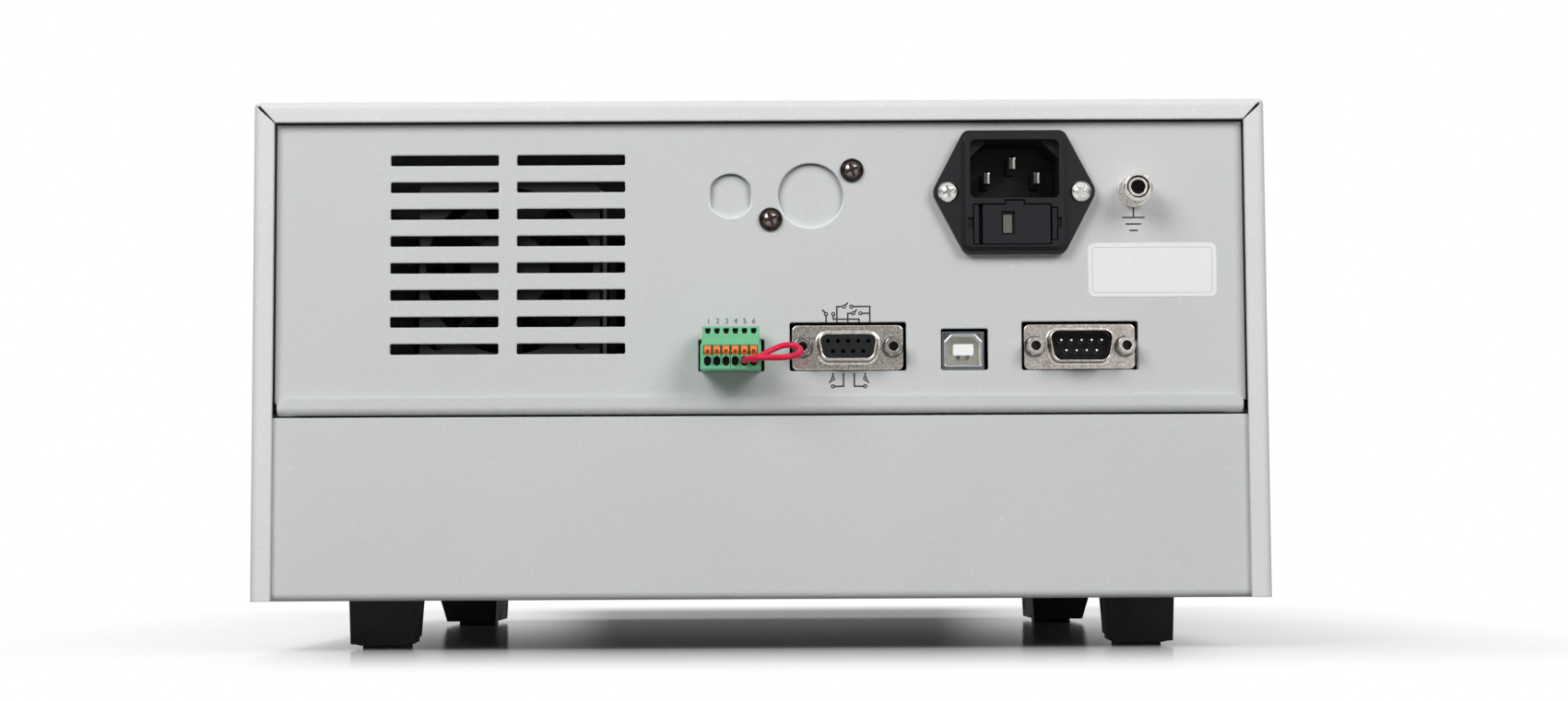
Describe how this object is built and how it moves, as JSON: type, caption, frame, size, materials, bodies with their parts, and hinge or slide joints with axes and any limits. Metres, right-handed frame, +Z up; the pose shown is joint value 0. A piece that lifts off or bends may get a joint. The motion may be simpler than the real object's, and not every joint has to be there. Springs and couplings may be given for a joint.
{
  "type": "hipot tester",
  "caption": "Bench hipot tester in a folded grey case on feet: fused mains inlet, earth post, pull-off terminal and data connectors at the rear, display, buttons and output sockets in front.",
  "frame": {"origin": "centre of the bounding box in plan, on the table under the rubber feet", "axes": "+Z up, the front panel faces -Y, the rear panel faces +Y, +X to the right as seen from the front"},
  "size_m": [0.284, 0.3802, 0.154],
  "materials": {
    "painted_steel": "light grey powder coat",
    "nickel": "nickel plate",
    "black_plastic": "moulded",
    "rubber": "matte",
    "fuse_metal": "plain",
    "ivory_card": "moulded",
    "brass": "gilt",
    "white_plastic": "moulded",
    "green_plastic": "moulded",
    "orange_plastic": "moulded",
    "wire_insulation": "smooth",
    "plain_steel": "zinc plate",
    "circuit_board": "solder resist",
    "component_black": "moulded",
    "aluminium": "mill finish",
    "core_iron": "varnished laminations",
    "coil_tape": "tape wrap",
    "bezel_plastic": "fine grain",
    "front_aluminium": "satin",
    "overlay_film": "textured film",
    "display_glass": "clear acrylic over a dark display",
    "green_button": "moulded",
    "red_plastic": "moulded"
  },
  "bodies": {
    "chassis": {"top_cover": "painted_steel", "base_tray": "painted_steel", "chassis_shelf": "painted_steel", "rear_panel": "painted_steel", "blanking_plate": "painted_steel", "panel_screws": "nickel", "cover_screws": "nickel", "rear_feet": "black_plastic", "front_feet": "black_plastic", "foot_pads": "rubber", "inlet_housing": "black_plastic", "inlet_pins": "nickel", "inlet_screws": "nickel", "ground_stud": "nickel", "handler_shell": "nickel", "handler_insert": "black_plastic", "serial_shell": "nickel", "serial_insert": "black_plastic", "serial_pins": "brass", "jack_posts": "nickel", "usb_shell": "nickel", "usb_tongue": "white_plastic", "terminal_header": "green_plastic", "fan_frame": "black_plastic", "fan_bracket": "plain_steel", "main_board": "circuit_board", "board_components": "component_black", "heat_sink": "aluminium", "transformer_core": "core_iron", "transformer_coil": "coil_tape", "transformer_cradle": "plain_steel", "power_module": "aluminium", "front_bezel": "bezel_plastic", "front_panel": "front_aluminium", "front_overlay": "overlay_film", "display_window": "display_glass", "display_module": "aluminium", "front_board": "circuit_board", "hv_socket": "red_plastic", "return_socket": "black_plastic", "switch_housing": "black_plastic", "warning_lamp": "red_plastic"},
    "fuse_drawer": {"fuse_drawer": "black_plastic", "fuses": "fuse_metal", "voltage_card": "ivory_card"},
    "terminal_plug": {"terminal_plug": "green_plastic", "jumper_wire": "wire_insulation"},
    "earth_nut": {"ground_nut": "nickel"},
    "fan_wheel": {"fan_rotor": "black_plastic"},
    "left_leg": {"tilt_leg_left": "black_plastic"},
    "right_leg": {"tilt_leg_right": "black_plastic"},
    "rocker": {"power_rocker": "black_plastic"},
    "start_key": {"start_button": "green_button"},
    "stop_key": {"stop_button": "red_plastic"},
    "release_1": {"lever_1": "orange_plastic"},
    "release_2": {"lever_2": "orange_plastic"},
    "release_3": {"lever_3": "orange_plastic"},
    "release_4": {"lever_4": "orange_plastic"},
    "release_5": {"lever_5": "orange_plastic"},
    "release_6": {"lever_6": "orange_plastic"}
  },
  "joints": [
    {"name": "fuse_drawer_slide", "type": "slide", "parent": "chassis", "child": "fuse_drawer", "axis": [0, 1, 0], "range_m": [0, 0.024]},
    {"name": "terminal_plug_slide", "type": "slide", "parent": "chassis", "child": "terminal_plug", "axis": [0, 1, 0], "range_m": [0, 0.012]},
    {"name": "lever_1_press", "type": "slide", "parent": "terminal_plug", "child": "release_1", "axis": [0, -1, 0], "range_m": [0, 0.001], "stiffness_N_per_m": 400},
    {"name": "lever_2_press", "type": "slide", "parent": "terminal_plug", "child": "release_2", "axis": [0, -1, 0], "range_m": [0, 0.001], "stiffness_N_per_m": 400},
    {"name": "lever_3_press", "type": "slide", "parent": "terminal_plug", "child": "release_3", "axis": [0, -1, 0], "range_m": [0, 0.001], "stiffness_N_per_m": 400},
    {"name": "lever_4_press", "type": "slide", "parent": "terminal_plug", "child": "release_4", "axis": [0, -1, 0], "range_m": [0, 0.001], "stiffness_N_per_m": 400},
    {"name": "lever_5_press", "type": "slide", "parent": "terminal_plug", "child": "release_5", "axis": [0, -1, 0], "range_m": [0, 0.001], "stiffness_N_per_m": 400},
    {"name": "lever_6_press", "type": "slide", "parent": "terminal_plug", "child": "release_6", "axis": [0, -1, 0], "range_m": [0, 0.001], "stiffness_N_per_m": 400},
    {"name": "earth_nut_turn", "type": "hinge", "parent": "chassis", "child": "earth_nut", "pos_m": [-0.1036, 0.178, 0.1262], "axis": [0, 1, 0], "continuous": true},
    {"name": "fan_spin", "type": "hinge", "parent": "chassis", "child": "fan_wheel", "pos_m": [0.0695, 0.1624, 0.10505], "axis": [0, 1, 0], "continuous": true},
    {"name": "tilt_leg_left_fold", "type": "hinge", "parent": "chassis", "child": "left_leg", "pos_m": [-0.1066, -0.121, 0.0057], "axis": [-1, 0, 0], "range_deg": [0, 100]},
    {"name": "tilt_leg_right_fold", "type": "hinge", "parent": "chassis", "child": "right_leg", "pos_m": [0.1066, -0.121, 0.0057], "axis": [-1, 0, 0], "range_deg": [0, 100]},
    {"name": "power_rocker_tilt", "type": "hinge", "parent": "chassis", "child": "rocker", "pos_m": [-0.108, -0.1716, 0.044], "axis": [1, 0, 0], "range_deg": [0, 18]},
    {"name": "start_press", "type": "slide", "parent": "chassis", "child": "start_key", "axis": [0, 1, 0], "range_m": [0, 0.002], "stiffness_N_per_m": 600},
    {"name": "stop_press", "type": "slide", "parent": "chassis", "child": "stop_key", "axis": [0, 1, 0], "range_m": [0, 0.002], "stiffness_N_per_m": 600}
  ]
}
